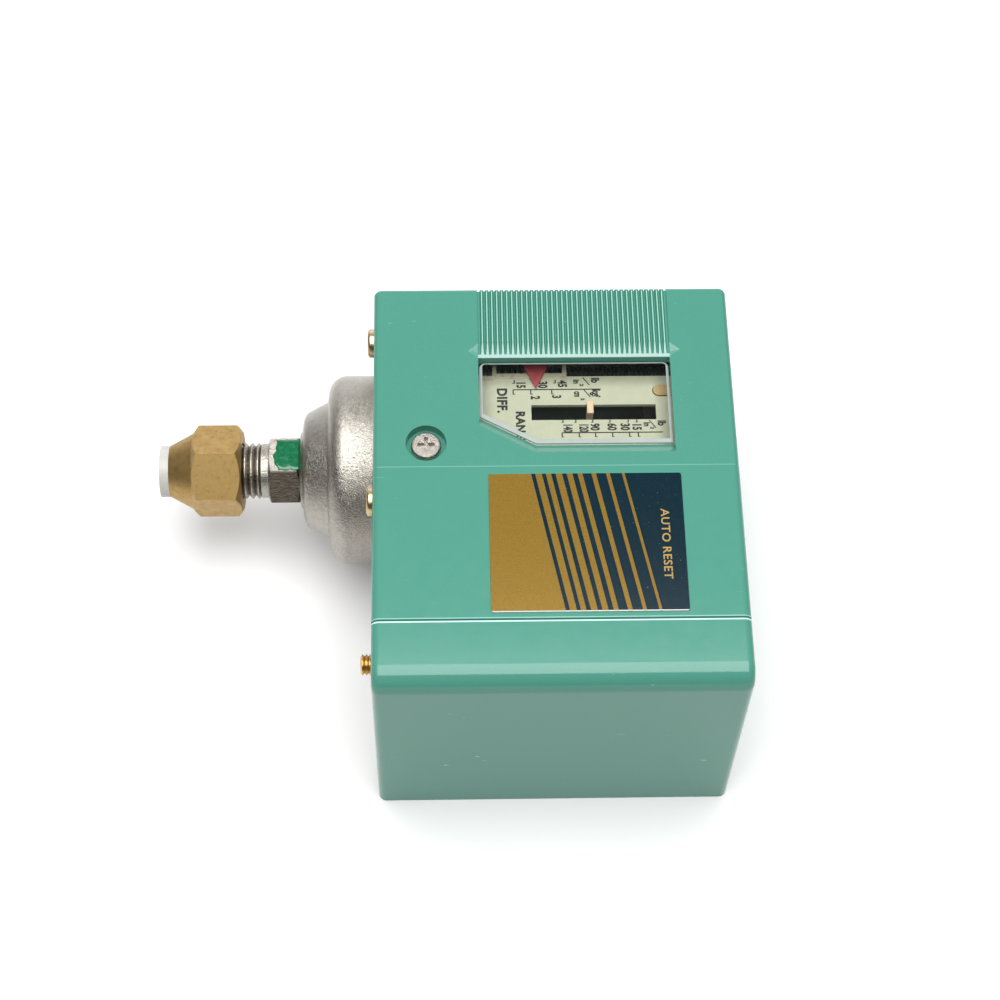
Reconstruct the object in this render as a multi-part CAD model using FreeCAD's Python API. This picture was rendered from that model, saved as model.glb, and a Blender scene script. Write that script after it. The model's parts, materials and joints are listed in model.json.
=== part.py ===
import FreeCAD, Part
import math
import os

# Pressure control switch with a flare pressure connection.  Millimetres.
# The control lies on its back: +Z is the front cover, +X is the adjusting-screw end,
# -X is the pressure-element end and -Y is the plain side.  The origin is the centre of
# the two mounting holes, on the back face.
V = FreeCAD.Vector

# ---- driving dimensions -------------------------------------------------------------
HOUSING_X = 68.0            # end to end
HOUSING_Y = 84.0            # side to side
HOUSING_Z = 54.0            # back to front
WALL = 1.6                  # moulded wall
BACK_WALL = 1.8
EDGE_R = 1.5                # general outside rounding
NEAR_EDGE_R = 4.0           # rounding of the front edge on the plain side
SEAM_Y = -29.5              # where the lid ends and the fixed front strip begins
LID_SPLIT_Z = 46.5          # where the lid's skirt ends and the case begins
SEAM_GAP = 0.4
STEP_Y = 2.2                # the front is a hair lower beyond this line
STEP_DEPTH = 0.12

WINDOW = (-14.1, 22.3, 7.9, 26.05)     # low x, high x, low y, high y of the opening
WINDOW_CUT_CORNER = (10.6, 6.0)        # the cut corner's run along x and y
LOWER_SLOPE_RUN = 3.0                  # the slope below the window, in plan
LENS_TOP_Z = 51.5
LENS_THICK = 1.5
LENS_LAP = 1.4                         # how far the lens reaches under the opening's edge
LENS_GAP = 0.2                         # round the pane, inside the opening
LENS_RISE = 1.0                        # of the pane above the flange
LENS_CORNER_R = 1.2
LENS_BEVEL = 0.55

RIB_COUNT = 37
RIB_PITCH = 0.965
RIB_DEPTH = 0.65
RIB_TIP = 0.16
RIB_SLOPE_Y = 29.5                     # the ribs slope down from here to the window
RIB_SLOPE_DROP = 0.5
RIB_END_Y = 26.75                      # each groove stops here in an upright end wall
RIB_X = (WINDOW[0], WINDOW[1] + 0.1)   # the sunk panel that the ribs stand in
RIB_LOW_Z = 48.5                       # how far the ribs run down the far face

AXIS_Y = 18.8                          # pressure element and range screw
AXIS_Z = 24.0
ELEMENT_CUP_R = 18.7
ELEMENT_DOME_R = 13.7
ELEMENT_HEX = 12.7                     # half inch across flats
CUP_X = -43.3                          # where each piece of the element ends, outwards
DOME_X = -48.4
HEX_X = (-55.3, -49.1)                 # the fitting's hexagon
THREAD_X = -56.8                       # inner end of the flare thread
THREAD_TURNS = 7
NOSE_LENGTH = 1.8                      # 45 degree flare nose
NUT_X = (-70.3, -60.6)                 # the nut's hexagon
NUT_TIP_X = -75.0
NUT_TURN_DEG = 98                      # how the nut happens to be turned
BELLOWS_HEAD_X = -41.6
PLUG_X = -76.8
FLARE_MAJOR_R = 5.555                  # 7/16-20 UNF, quarter inch flare
FLARE_PITCH = 25.4 / 20
FLARE_NUT_HEX = 15.875                 # five eighths across flats

SHEET = 1.2                            # steel sheet
PLATE_Z = BACK_WALL + SHEET            # top of the chassis back plate
END_X = -33.6                          # outside of the steel end plate
MOUNT_SPACING = 56.0
MOUNT_HOLE_R = 2.25
CASE_SCREW_R = 1.5

DIFF_Y = 28.1                          # differential screw
DIFF_Z = 42.3
SCREW_R = 2.5                          # M5 adjusting screws
SCREW_PITCH = 0.8
DIAL_TOP_Z = 47.0
LUG_CENTRE = (20.60, 22.55)
LUG_R = 1.15
LUG_LENGTH = 1.9                       # from the middle of its round end
LUG_GAP = 0.15                         # between the lug and the dial's notch
RIVET_R = 0.8
DIAL_THICK = 0.8
SLOT = (-4.0, 19.8, 16.15, 19.5)       # dial slot, low x, high x, low y, high y
POINTER_X = 7.2
DIFF_X = -3.0

LEVER_X = -19.25                       # lever pivot and the middle of its plate
LEVER_THICK = 1.5
LEVER_GAP = 0.3                        # clearance between pieces that push each other
TAIL_Y = -22.0                         # where the lever works the switch
TAIL_Z = 18.5

SWITCH = (4.5, 29.5, -38.0, -12.0, 10.0, 24.0)
POCKET = (8.2, 19.5, -33.0, -15.0, 13.0)
TERMINAL_YS = (-33.0, -26.0, -19.0)
COVER_SCREW = (-24.05, 7.25)
CASE_SCREW_Y = 36.0                    # far case screw; the near one holds the bracket
BRACKET_SCREW_Y = 0.7
CASE_SCREW_Z = 43.6
EAR_THICK = 2.0
EARTH_Y = -30.0
EARTH_Z = 36.9
GROMMET_Y = -17.8
GROMMET_Z = 25.4
LABEL = (-12.7, 23.0, -28.1, 0.4)      # label recess, low x, high x, low y, high y
BLADE_X = 12.5                         # contact blade's pivot
BLADE_Y = -30.5
CONTACT_Y = -17.8
TERMINAL_X = 25.0
BRACKET_TOP_Z = LID_SPLIT_Z - 0.2
HX = HOUSING_X / 2
HY = HOUSING_Y / 2
FAR = 200.0                            # larger than the control, for cutting tools


# ---- helpers ------------------------------------------------------------------------
def box(x0, x1, y0, y1, z0, z1):
    return Part.makeBox(x1 - x0, y1 - y0, z1 - z0, V(x0, y0, z0))


def rod_x(r, x0, x1, y, z):
    return Part.makeCylinder(r, x1 - x0, V(x0, y, z), V(1, 0, 0))


def rod_z(r, x, y, z0, z1):
    return Part.makeCylinder(r, z1 - z0, V(x, y, z0), V(0, 0, 1))


def prism(points, direction):
    """A straight prism on a closed outline of corner points."""
    corners = [V(*p) for p in points]
    face = Part.Face(Part.makePolygon(corners + [corners[0]]))
    return face.extrude(V(*direction))


def turned_x(profile, y, z):
    """Revolve (x, radius) points about the line along X through y, z."""
    points = [V(x, y + r, z) for x, r in profile]
    face = Part.Face(Part.makePolygon(points + [points[0]]))
    return face.revolve(V(0, y, z), V(1, 0, 0), 360)


def hexagon_x(across_flats, x0, x1, y, z, turn_deg, chamfer):
    """A hexagonal prism along X with both ends turned down at the corners."""
    r = across_flats / math.sqrt(3)
    angles = [math.radians(turn_deg + 60 * i) for i in range(6)]
    solid = prism([(x0, y + r * math.cos(a), z + r * math.sin(a)) for a in angles],
                  (x1 - x0, 0, 0))
    low = across_flats / 2 - 0.2
    lift = chamfer * (r + 0.2 - low) / (r - across_flats / 2)
    turned = turned_x([(x0, 0), (x0, low), (x0 + lift, r + 0.2),
                       (x1 - lift, r + 0.2), (x1, low), (x1, 0)], y, z)
    return solid.common(turned)


def threaded_x(major_r, pitch, x0, x1, y, z):
    """A screw drawn as a row of V grooves, so that turning it changes nothing."""
    depth = 0.55 * pitch
    count = int((x1 - x0) / pitch)
    profile = [(x0, 0), (x0, major_r - depth)]
    for i in range(count):
        start = x0 + i * pitch
        profile += [(start + 0.42 * pitch, major_r), (start + 0.58 * pitch, major_r),
                    (start + pitch, major_r - depth)]
    profile += [(x1, major_r - depth), (x1, 0)]
    if abs(x0 + count * pitch - x1) < 1e-6:
        profile.pop(-2)
    return turned_x(profile, y, z)


def spring_x(mean_r, wire_r, x0, x1, turns, y, z):
    """A helical spring along X that stands between x0 and x1."""
    height = x1 - x0 - 2 * wire_r
    helix = Part.makeHelix(height / turns, height, mean_r)
    ring = Part.Wire(Part.makeCircle(wire_r, V(mean_r, 0, 0), V(0, 1, 0)))
    coil = Part.Wire(helix).makePipeShell([ring], True, True)
    coil.rotate(V(0, 0, 0), V(0, 1, 0), 90)
    coil.translate(V(x0 + wire_r, y, z))
    return coil


def pan_head_z(head_r, head_h, x, y, z0, shank_r, z_tip):
    """A pan-head cross-recess screw, head down to z0 and shank to z_tip."""
    head = rod_z(head_r, x, y, z0, z0 + head_h)
    head = head.makeFillet(0.35 * head_h, [head.Edges[0]])
    screw = head.fuse(rod_z(shank_r, x, y, z_tip, z0))
    slot_l = 1.15 * head_r
    slot_w = 0.24 * head_r
    deep = z0 + 0.35 * head_h
    for a, b in ((slot_l, slot_w), (slot_w, slot_l)):
        screw = screw.cut(box(x - a / 2, x + a / 2, y - b / 2, y + b / 2, deep, FAR))
    return screw


def end_screw(y, z, head_r, head_h, shank_r, tip_x):
    """A pan-head screw driven in +X through the end plate."""
    screw = pan_head_z(head_r, head_h, 0, 0, 0, shank_r, END_X - tip_x)
    screw.rotate(V(0, 0, 0), V(0, 1, 0), -90)
    screw.translate(V(END_X, y, z))
    return screw


def fuse_all(shapes):
    return shapes[0].multiFuse(shapes[1:]).removeSplitter()


def group(shapes):
    return Part.makeCompound(shapes)


# ---- housing ------------------------------------------------------------------------
def outer_block():
    """The whole housing's outside, as if it were one block."""
    block = box(-HX, HX, -HY, HY, 0, HOUSING_Z)
    near = [e for e in block.Edges if e.CenterOfMass.z > HOUSING_Z - 0.01
            and e.CenterOfMass.y < -HY + 0.01]
    block = block.makeFillet(NEAR_EDGE_R, near)
    rounded = []
    for edge in block.Edges:
        mid = edge.CenterOfMass
        on_end = abs(abs(mid.x) - HX) < 0.01
        far_front = mid.y > HY - 0.01 and mid.z > HOUSING_Z - 0.01
        if (on_end and mid.z > 0.01) or far_front:
            rounded.append(edge)
    block = block.makeFillet(EDGE_R, rounded)
    lower = HOUSING_Z - STEP_DEPTH
    block = block.cut(box(-FAR, FAR, STEP_Y, 27.0, lower, FAR))
    for x0, x1 in ((-FAR, RIB_X[0]), (RIB_X[1], FAR)):
        block = block.cut(box(x0, x1, 27.0, FAR, lower, FAR))
    for x0, x1 in ((-FAR, -HX + STEP_DEPTH), (HX - STEP_DEPTH, FAR)):
        block = block.cut(box(x0, x1, STEP_Y, FAR, LID_SPLIT_Z, FAR))
    return block


def cavity():
    return box(-HX + WALL, HX - WALL, -HY + WALL, HY - WALL,
               BACK_WALL, HOUSING_Z - BACK_WALL)


def lid_region(grow):
    return box(-FAR, FAR, SEAM_Y - grow, FAR, LID_SPLIT_Z - grow, FAR)


def rear_case():
    case = outer_block().cut(cavity()).cut(lid_region(0))
    case = case.cut(box(-FAR, -HX + WALL, -HY + WALL, HY - WALL, BACK_WALL, LID_SPLIT_Z))
    ear = box(-HX + WALL, -HX + WALL + EAR_THICK, 31.0, HY - WALL, 38.5, LID_SPLIT_Z - 0.1)
    ear = ear.cut(rod_x(CASE_SCREW_R + 0.1, -FAR, 0, CASE_SCREW_Y, CASE_SCREW_Z))
    case = case.fuse(ear)
    case = case.cut(rod_x(4.2, 0, FAR, AXIS_Y, AXIS_Z))
    case = case.cut(rod_x(3.0, 0, FAR, DIFF_Y, DIFF_Z))
    for y in (-MOUNT_SPACING / 2, MOUNT_SPACING / 2):
        case = case.cut(rod_z(MOUNT_HOLE_R, 0, y, -1, PLATE_Z + 0.01))
    rim = box(-HX + WALL, HX - WALL, -HY + WALL, -HY + WALL + 0.8, 46.0, 48.0)
    return case.fuse(rim).removeSplitter()


def rib_cutter():
    """Grooves between the ridges, the space above the tips, and grooves down the far face."""
    x0, x1 = RIB_X
    first = (x0 + x1) / 2 - RIB_PITCH * (RIB_COUNT - 1) / 2
    floor = HOUSING_Z - RIB_DEPTH
    profile = [(x0, floor)]
    for i in range(RIB_COUNT):
        x = first + i * RIB_PITCH
        for dx, z in ((-RIB_PITCH / 2 + 0.06, floor), (-RIB_TIP / 2, HOUSING_Z),
                      (RIB_TIP / 2, HOUSING_Z), (RIB_PITCH / 2 - 0.06, floor)):
            profile.append((x + dx, z))
    profile += [(x1, floor), (x1, HOUSING_Z + 1), (x0, HOUSING_Z + 1)]
    start = 20.0
    grooves = prism([(x, start, z) for x, z in profile], (0, FAR, 0))
    over_tips = box(x0 + 0.5, x1 - 0.5, start, start + FAR, HOUSING_Z, HOUSING_Z + 2)
    down = [(x, HY - HOUSING_Z + z, RIB_LOW_Z) for x, z in profile]
    return grooves, over_tips, prism(down, (0, 0, FAR))


def slope_cutter():
    """The channel's floor sinks towards the window and ends at its edge."""
    low = HOUSING_Z - RIB_SLOPE_DROP
    side = [(WINDOW[0], RIB_SLOPE_Y, HOUSING_Z), (WINDOW[0], WINDOW[3] - 0.5, low),
            (WINDOW[0], WINDOW[3] - 0.5, HOUSING_Z + 2), (WINDOW[0], RIB_SLOPE_Y, HOUSING_Z + 2)]
    return prism(side, (RIB_X[1] - RIB_X[0], 0, 0))


def window_outline(z, grow):
    """Corners of the opening at one height, with its lower side moved out by grow."""
    x0, x1, y0, y1 = WINDOW
    cut_x, cut_y = WINDOW_CUT_CORNER
    low_y = y0 - grow
    return [V(x0, y1, z), V(x0, low_y + cut_y, z), V(x0 + cut_x - 0.1 * grow, low_y, z),
            V(x1, low_y, z), V(x1, y1, z)]


def window_cutter():
    """The opening, flared on its lower side and at its cut corner."""
    def wire(z, grow):
        points = window_outline(z, grow)
        return Part.makePolygon(points + [points[0]])
    top = HOUSING_Z + 0.6
    flare = LOWER_SLOPE_RUN * (top - LENS_TOP_Z) / (HOUSING_Z - LENS_TOP_Z)
    funnel = Part.makeLoft([wire(LENS_TOP_Z, 0), wire(top, flare)], True, True)
    shaft = Part.Face(wire(LENS_TOP_Z - 3, 0)).extrude(V(0, 0, 3.01))
    return funnel.fuse(shaft)


def dish_cutters():
    """A shallow three-sided dish beside each upper corner of the window."""
    cutters = []
    z = HOUSING_Z - STEP_DEPTH
    for x, apex in ((RIB_X[0], -2.8), (RIB_X[1], 2.8)):
        inner = x - 0.05 * apex
        a = V(inner, RIB_SLOPE_Y + 0.6, z + 0.2)
        b = V(inner, WINDOW[3] - 0.6, z + 0.2)
        c = V(x + apex, 27.5, z + 0.2)
        d = V(inner, 27.3, z - 0.5)
        faces = [Part.Face(Part.makePolygon(list(t) + [t[0]]))
                 for t in ((a, b, c), (a, b, d), (b, c, d), (c, a, d))]
        cutters.append(Part.makeSolid(Part.makeShell(faces)))
    return cutters


def front_cover():
    lid = outer_block().common(lid_region(-SEAM_GAP)).cut(cavity())
    x0, x1, y0, y1 = WINDOW
    pad = box(x0 - 2.4, x1 + 2.5, y0 - 2.4, y1 + 2.4, LENS_TOP_Z, HOUSING_Z - BACK_WALL)
    x, y = COVER_SCREW
    boss = rod_z(5.4, x, y, 49.8, HOUSING_Z - BACK_WALL)
    lid = lid.fuse(pad).fuse(boss)
    grooves, over_tips, down = rib_cutter()
    keep_out = box(-FAR, FAR, -FAR, RIB_END_Y, -FAR, FAR)
    lid = lid.cut(grooves.cut(keep_out)).cut(over_tips.cut(keep_out)).cut(down)
    lid = lid.cut(slope_cutter()).cut(window_cutter())
    for cutter in dish_cutters():
        lid = lid.cut(cutter)
    lid = lid.cut(rod_z(3.8, x, y, 51.8, FAR)).cut(rod_z(2.4, x, y, 0, FAR))
    return lid.cut(box(*LABEL, HOUSING_Z - 0.1, FAR))


def window_lens():
    """Clear plate with a flange behind the cover and a bevelled pane in the opening."""
    x0, x1, y0, y1 = WINDOW
    flange = box(x0 - LENS_LAP, x1 + LENS_LAP, y0 - LENS_LAP, y1 + LENS_LAP,
                 LENS_TOP_Z - LENS_THICK, LENS_TOP_Z)
    points = window_outline(LENS_TOP_Z - 0.2, 0)
    outline = Part.makePolygon(points + [points[0]]).makeOffset2D(-LENS_GAP)
    pane = Part.Face(outline).extrude(V(0, 0, LENS_RISE + 0.2))
    far_corners = [e for e in pane.Edges
                   if abs(e.CenterOfMass.y - (y1 - LENS_GAP)) < 0.01
                   and e.BoundBox.ZLength > LENS_RISE]
    pane = pane.makeFillet(LENS_CORNER_R, far_corners)
    rim = [e for e in pane.Edges if e.BoundBox.ZMin > LENS_TOP_Z + LENS_RISE - 0.01]
    return flange.fuse(pane.makeChamfer(LENS_BEVEL, rim)).removeSplitter()


def label_plate():
    inset = 0.1
    x0, x1, y0, y1 = LABEL
    plate = box(x0 + inset, x1 - inset, y0 + inset, y1 - inset,
                HOUSING_Z - 0.1, HOUSING_Z + 0.2)
    edges = [e for e in plate.Edges if abs(e.Vertexes[0].Z - e.Vertexes[1].Z) > 0.2]
    return plate.makeFillet(0.5, edges)


def cover_screw():
    return pan_head_z(2.8, 1.6, *COVER_SCREW, 51.8, 1.95, 42.4)


# ---- chassis and what is fixed to it ------------------------------------------------
def chassis():
    back = box(-HX + WALL, HX - WALL - 0.2, -HY + WALL + 0.2, HY - WALL - 0.2,
               BACK_WALL, PLATE_Z)
    for y in (-MOUNT_SPACING / 2, MOUNT_SPACING / 2):
        back = back.cut(rod_z(MOUNT_HOLE_R, 0, y, 0, 5))
    bearing = box(HX - WALL - 0.2 - SHEET, HX - WALL - 0.2, 9, 34, BACK_WALL, 46.3)
    for y, z in ((AXIS_Y, AXIS_Z), (DIFF_Y, DIFF_Z)):
        bearing = bearing.cut(rod_x(2.06, 0, FAR, y, z))
    return fuse_all([back, bearing])


def end_plate():
    plate = box(END_X, -HX + WALL, -HY + WALL + 0.15, HY - WALL - 0.15,
                BACK_WALL + 0.05, LID_SPLIT_Z - 0.15)
    holes = ((9.0, AXIS_Y, AXIS_Z), (CASE_SCREW_R + 0.05, CASE_SCREW_Y, CASE_SCREW_Z),
             (CASE_SCREW_R + 0.05, BRACKET_SCREW_Y, CASE_SCREW_Z),
             (4.5, GROMMET_Y, GROMMET_Z), (2.0, EARTH_Y, EARTH_Z))
    for r, y, z in holes:
        plate = plate.cut(rod_x(r, -FAR, 0, y, z))
    return plate


def cover_bracket():
    x = -HX + WALL
    upright = box(x, x + SHEET, -4.0, 13.0, 38.0, BRACKET_TOP_Z)
    upright = upright.cut(rod_x(CASE_SCREW_R, -FAR, 0, BRACKET_SCREW_Y, CASE_SCREW_Z))
    tab = box(x, -20.0, -4.0, 13.0, BRACKET_TOP_Z - SHEET, BRACKET_TOP_Z)
    tab = tab.cut(rod_z(2.0, *COVER_SCREW, 0, FAR))
    return fuse_all([upright, tab])


def case_screws():
    return group([end_screw(y, CASE_SCREW_Z, 2.8, 1.8, CASE_SCREW_R, tip)
                  for y, tip in ((CASE_SCREW_Y, -27.5), (BRACKET_SCREW_Y, -30.2))])


def case_nut():
    start = -HX + WALL + EAR_THICK
    nut = hexagon_x(5.5, start, start + 2.2, CASE_SCREW_Y, CASE_SCREW_Z, 0, 0.25)
    return nut.cut(rod_x(CASE_SCREW_R, -FAR, 0, CASE_SCREW_Y, CASE_SCREW_Z))


def earth_screw():
    """Brass earth screw, head inside, with its point outside the end plate."""
    inside = -HX + WALL + 1.0
    tip = threaded_x(1.95, 0.7, END_X - 2.8, END_X, EARTH_Y, EARTH_Z)
    shank = rod_x(1.95, END_X, inside, EARTH_Y, EARTH_Z)
    head = rod_x(3.6, inside, inside + 2.4, EARTH_Y, EARTH_Z)
    head = head.cut(box(inside + 1.4, 0, EARTH_Y - 4, EARTH_Y + 4, EARTH_Z - 0.4, EARTH_Z + 0.4))
    return fuse_all([tip, shank, head])


def earth_washer():
    x = -HX + WALL
    washer = rod_x(4.2, x, x + 1.0, EARTH_Y, EARTH_Z)
    return washer.cut(rod_x(1.95, x, x + 1.0, EARTH_Y, EARTH_Z))


def cable_grommet():
    """Rubber grommet with a groove that the end plate's hole sits in."""
    x1 = -HX + WALL
    profile = [(END_X - 1.2, 3.25), (END_X - 1.2, 4.6), (END_X - 0.8, 5.0), (END_X, 5.0),
               (END_X, 4.5), (x1, 4.5), (x1, 5.4), (x1 + 1.2, 5.4), (x1 + 1.6, 5.0),
               (x1 + 1.6, 3.25)]
    return turned_x(profile, GROMMET_Y, GROMMET_Z)


def dial_bracket():
    """Steel frame that carries the dial and the differential screw's far end."""
    base_z = DIAL_TOP_Z - DIAL_THICK
    far_plate = box(-17.9, 27.0, 33.0, 34.2, PLATE_Z, base_z)
    far_plate = far_plate.cut(box(-10, 20, 30, 40, 8, 36))
    legs = []
    for x0, x1, flange in ((-17.9, -16.7, (-17.9, -13.6)), (25.8, 27.0, (20.4, 27.0))):
        legs.append(box(x0, x1, 6.0, 34.2, 38.0, base_z))
        legs.append(box(*flange, 8.0, 24.6, base_z - SHEET, base_z))
    seat = box(-17.9, -16.7, 22.0, 34.2, 36.5, base_z)
    frame = fuse_all([far_plate, seat] + legs)
    for x, y in dial_rivet_places():
        frame = frame.cut(rod_z(RIVET_R, x, y, 40, 50))
    frame = frame.cut(rod_x(3.0, 0, FAR, DIFF_Y, DIFF_Z))
    return frame


def dial_rivet_places():
    return [(-15.4, 10.0), (-15.4, 22.4), (24.6, 10.0), (24.6, 22.4)]


def dial_plate():
    plate = box(-17.5, 26.8, 5.6, 25.9, DIAL_TOP_Z - DIAL_THICK, DIAL_TOP_Z)
    plate = plate.cut(box(*SLOT, 0, FAR))
    plate = plate.cut(lug_outline(LUG_R + LUG_GAP, 0, FAR))
    for x, y in dial_rivet_places():
        plate = plate.cut(rod_z(RIVET_R, x, y, 40, 50))
    return plate


def dial_rivets():
    rivets = []
    for x, y in dial_rivet_places():
        rivet = rod_z(RIVET_R, x, y, DIAL_TOP_Z - DIAL_THICK - SHEET, DIAL_TOP_Z)
        head = rod_z(1.4, x, y, DIAL_TOP_Z, DIAL_TOP_Z + 0.5)
        rivets.append(rivet.fuse(head.makeFillet(0.3, [head.Edges[0]])))
    return group(rivets)


def lug_outline(radius, z0, z1):
    """A tongue with a round left end; the dial's notch is the same shape, a little wider."""
    x, y = LUG_CENTRE
    tongue = box(x, x + LUG_LENGTH + radius - LUG_R, y - radius, y + radius, z0, z1)
    return rod_z(radius, x, y, z0, z1).fuse(tongue).removeSplitter()


def dial_lug():
    """Brass locating lug on the dial bracket, that shows in the dial's notch."""
    z = DIAL_TOP_Z - DIAL_THICK
    return lug_outline(LUG_R, z, z + 1.1)


def dial_rail():
    """Bright rail along the dial's far edge, jogged towards the dial at its left end."""
    z0 = DIAL_TOP_Z
    z1 = z0 + 0.3
    x0 = -11.3
    x1 = 2.95
    wide = 0.8
    rail = box(x0, x1, 25.5, 26.5, z0 - 0.7, z1)
    end = box(x0 - 2.1, x0 + 0.2, 25.0, 26.0, z0, z1)
    hook = box(x1 - wide, x1, 24.9, 25.6, z0, z1)
    away = [box(x, x + wide, 26.4, 29.5, z0 - 0.7, z1) for x in (x0, x1 - wide)]
    over_dial = box(-FAR, FAR, 0, 25.9, z0 - 1, z0)
    return fuse_all([rail, end, hook] + away).cut(over_dial)


# ---- pressure element ---------------------------------------------------------------
def bellows_cup():
    """Drawn cup, open at the end plate, with a hole in the middle of its floor."""
    skin = 1.0
    shapes = []
    for x, r, corner_r in ((CUP_X, ELEMENT_CUP_R, 3.6),
                           (CUP_X + skin, ELEMENT_CUP_R - skin, 3.6 - skin)):
        solid = rod_x(r, x, END_X, AXIS_Y, AXIS_Z)
        corner = [e for e in solid.Edges if abs(e.CenterOfMass.x - x) < 0.01]
        shapes.append(solid.makeFillet(corner_r, corner))
    hole = rod_x(11.5, CUP_X - 1, CUP_X + skin + 1, AXIS_Y, AXIS_Z)
    return shapes[0].cut(shapes[1]).cut(hole)


def element_dome():
    """Tapered pressed cap between the cup and the fitting."""
    outer = turned_x([(CUP_X, 0), (CUP_X, ELEMENT_DOME_R), (DOME_X, 11.0), (DOME_X, 0)],
                     AXIS_Y, AXIS_Z)
    corner = [e for e in outer.Edges if abs(e.CenterOfMass.x - DOME_X) < 0.01
              and e.Length > 60]
    outer = outer.makeFillet(2.2, corner)
    inner = turned_x([(CUP_X, 0), (CUP_X, ELEMENT_DOME_R - 2.0), (DOME_X + 1.8, 9.4),
                      (DOME_X + 1.1, 8.4), (DOME_X + 1.1, 0)], AXIS_Y, AXIS_Z)
    return outer.cut(inner).cut(rod_x(4.0, DOME_X - 1, DOME_X + 2, AXIS_Y, AXIS_Z))


def braze_ring():
    """Bead of brazing alloy round the fitting's seat."""
    profile = [(DOME_X, 6.4), (DOME_X, 8.2), (DOME_X - 0.3, 7.9), (HEX_X[1], 7.35),
               (HEX_X[1], 6.4)]
    return turned_x(profile, AXIS_Y, AXIS_Z)


def flare_fitting():
    """Hexagon, collar, thread and the 45 degree flare nose, with a pressure bore."""
    y, z = AXIS_Y, AXIS_Z
    hexagon = hexagon_x(ELEMENT_HEX, *HEX_X, y, z, 0, 0.5)
    seat = rod_x(6.4, HEX_X[1], DOME_X, y, z)
    collar = rod_x(5.4, THREAD_X, HEX_X[0], y, z)
    end = THREAD_X - THREAD_TURNS * FLARE_PITCH
    thread = threaded_x(FLARE_MAJOR_R, FLARE_PITCH, end, THREAD_X, y, z)
    tip = end - NOSE_LENGTH
    nose = turned_x([(end, 0), (end, 4.6), (tip, 4.6 - NOSE_LENGTH), (tip, 0)], y, z)
    body = fuse_all([hexagon, seat, collar, thread, nose])
    return body.cut(rod_x(1.6, -FAR, 0, y, z))


def flare_nut():
    """Hexagon with both ends chamfered, then a cone; bored for the thread and a plug."""
    y, z = AXIS_Y, AXIS_Z
    hexagon = hexagon_x(FLARE_NUT_HEX, *NUT_X, y, z, NUT_TURN_DEG, 0.9)
    cone = turned_x([(NUT_TIP_X, 0), (NUT_TIP_X, 5.1), (NUT_X[0], 7.6), (NUT_X[0], 0)], y, z)
    nut = fuse_all([hexagon, cone])
    nut = nut.cut(rod_x(FLARE_MAJOR_R + 0.07, NUT_X[0] + 1.7, 0, y, z))
    return nut.cut(rod_x(3.3, -FAR, 0, y, z))


def nut_plug():
    """Pale plastic plug that closes the nut until the control is piped in."""
    y, z = AXIS_Y, AXIS_Z
    head = rod_x(5.1, PLUG_X, NUT_TIP_X, y, z)
    return fuse_all([head, rod_x(3.25, NUT_TIP_X, NUT_X[0] + 0.9, y, z)])


def bellows():
    """Corrugated tube, open at the end plate, closed by its head."""
    folds = 7
    start = -41.5
    step = (END_X - start) / folds
    profile = [(start, 8.4)]
    for i in range(folds):
        x = start + i * step
        profile += [(x + 0.12, 11.4), (x + 0.62, 11.4), (x + step, 8.9)]
    profile += [(END_X, 8.4)]
    for i in reversed(range(folds)):
        x = start + i * step
        profile += [(x + 0.62, 10.9), (x + 0.12, 10.9)] + ([(x, 8.4)] if i else [])
    return turned_x(profile, AXIS_Y, AXIS_Z)


def bellows_head():
    """Plate that closes the bellows and pushes the rod."""
    return rod_x(9.6, BELLOWS_HEAD_X - 1.0, BELLOWS_HEAD_X, AXIS_Y, AXIS_Z)


def push_rod():
    tip = LEVER_X - LEVER_THICK / 2 - LEVER_GAP
    return rod_x(2.5, BELLOWS_HEAD_X, tip, AXIS_Y, AXIS_Z)


def rod_guide():
    """Flanged bush in the end plate that keeps the rod straight."""
    profile = [(-32.4, 2.56), (-32.4, 10.5), (-31.4, 10.5), (-31.4, 4.6), (-28.4, 4.6),
               (-28.4, 2.56)]
    return turned_x(profile, AXIS_Y, AXIS_Z)


# ---- lever --------------------------------------------------------------------------
def pivot_bracket():
    web = box(-25.2, -24.0, -5.0, 5.0, PLATE_Z, 38.0)
    foot = box(-25.2, -13.5, -5.0, 5.0, PLATE_Z, PLATE_Z + SHEET)
    ears = [box(-25.2, -15.5, -4.0, 4.0, z, z + SHEET) for z in (9.0, 36.8)]
    frame = fuse_all([web, foot] + ears)
    return frame.cut(rod_z(1.5, LEVER_X, 0, 7, 40))


def pivot_pin():
    return rod_z(1.5, LEVER_X, 0, 8.2, 38.8)


def pivot_clips():
    clips = []
    for z in (8.4, 38.0):
        ring = rod_z(2.8, LEVER_X, 0, z, z + 0.6).cut(rod_z(1.5, LEVER_X, 0, z, z + 0.6))
        clips.append(ring)
    return group(clips)


def main_lever():
    x0 = LEVER_X - LEVER_THICK / 2
    x1 = LEVER_X + LEVER_THICK / 2
    barrel = rod_z(2.8, LEVER_X, 0, 10.6, 36.4)
    plate = box(x0, x1, 0, 26.5, 15.5, 32.5)
    tail = box(x0, x1, -25.5, 0, 14.0, 23.0)
    lever = fuse_all([barrel, plate, tail]).cut(rod_z(1.56, LEVER_X, 0, 0, 50))
    return lever.cut(rod_x(1.5, -FAR, 0, TAIL_Y, TAIL_Z))


def calibration_screw():
    y, z = TAIL_Y, TAIL_Z
    screw = rod_x(1.5, -22.6, -4.3, y, z)
    head = rod_x(2.7, -24.4, -22.6, y, z)
    head = head.cut(box(-FAR, -23.6, y - 4, y + 4, z - 0.35, z + 0.35))
    return fuse_all([screw, head])


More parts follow.
